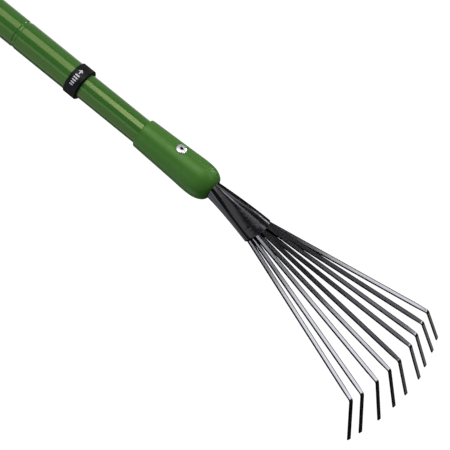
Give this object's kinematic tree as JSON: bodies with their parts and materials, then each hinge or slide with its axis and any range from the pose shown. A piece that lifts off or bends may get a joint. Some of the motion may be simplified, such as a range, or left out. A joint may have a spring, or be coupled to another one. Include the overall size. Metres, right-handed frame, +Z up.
{
  "type": "leaf rake",
  "caption": "Hand leaf rake with a telescopic twist-lock tube handle, a moulded socket and a fan of flat spring tines with bent tips held in an arched ferrule.",
  "frame": {"origin": "centre of the hanging hole in the rear cap", "axes": "+X along the handle towards the fan head, +Z up through the hanging hole, tine tips bent towards -Z, +Y to the left seen from the grip"},
  "size_m": [0.7365, 0.1092, 0.0692],
  "materials": {
    "green_paint": "gloss powder coat",
    "green_plastic": "satin moulded plastic",
    "black_plastic": "satin moulded plastic",
    "natural_plastic": "satin moulded plastic",
    "grip_rubber": "soft ribbed",
    "black_steel": "gloss black enamel",
    "bare_steel": "bare",
    "rivet_metal": "bright"
  },
  "bodies": {
    "handle": {"outer_tube": "green_paint", "locking_collar": "black_plastic", "grip": "grip_rubber", "end_cap": "black_plastic"},
    "guide": {"guide_ring": "black_plastic"},
    "pole": {"inner_tube": "green_paint", "cam_plug": "natural_plastic", "cam_plug_pin": "bare_steel", "retaining_screw": "bare_steel", "head_socket": "green_plastic", "shank_bushing": "natural_plastic", "blind_rivet": "rivet_metal", "rivet_mandrel": "bare_steel", "fan_ferrule": "black_steel", "weld_plug": "bare_steel", "tine_1": "black_steel", "tine_2": "black_steel", "tine_3": "black_steel", "tine_4": "black_steel", "tine_5": "black_steel", "tine_6": "black_steel", "tine_7": "black_steel", "tine_8": "black_steel", "tine_9": "black_steel"},
    "lock_drum": {"lock_drum": "natural_plastic"}
  },
  "joints": [
    {"name": "pole_slide", "type": "slide", "parent": "handle", "child": "guide", "axis": [1, 0, 0], "range_m": [-0.052, 0.228]},
    {"name": "pole_twist", "type": "hinge", "parent": "guide", "child": "pole", "pos_m": [0.105, 0, 0], "axis": [1, 0, 0], "range_deg": [0, 90]},
    {"name": "drum_turn", "type": "hinge", "parent": "pole", "child": "lock_drum", "pos_m": [0.118, 0, 0.00035], "axis": [1, 0, 0], "range_deg": [-90, 0]}
  ],
  "couplings": [
    {"joint": "drum_turn", "follows": "pole_twist", "ratio": -1}
  ]
}
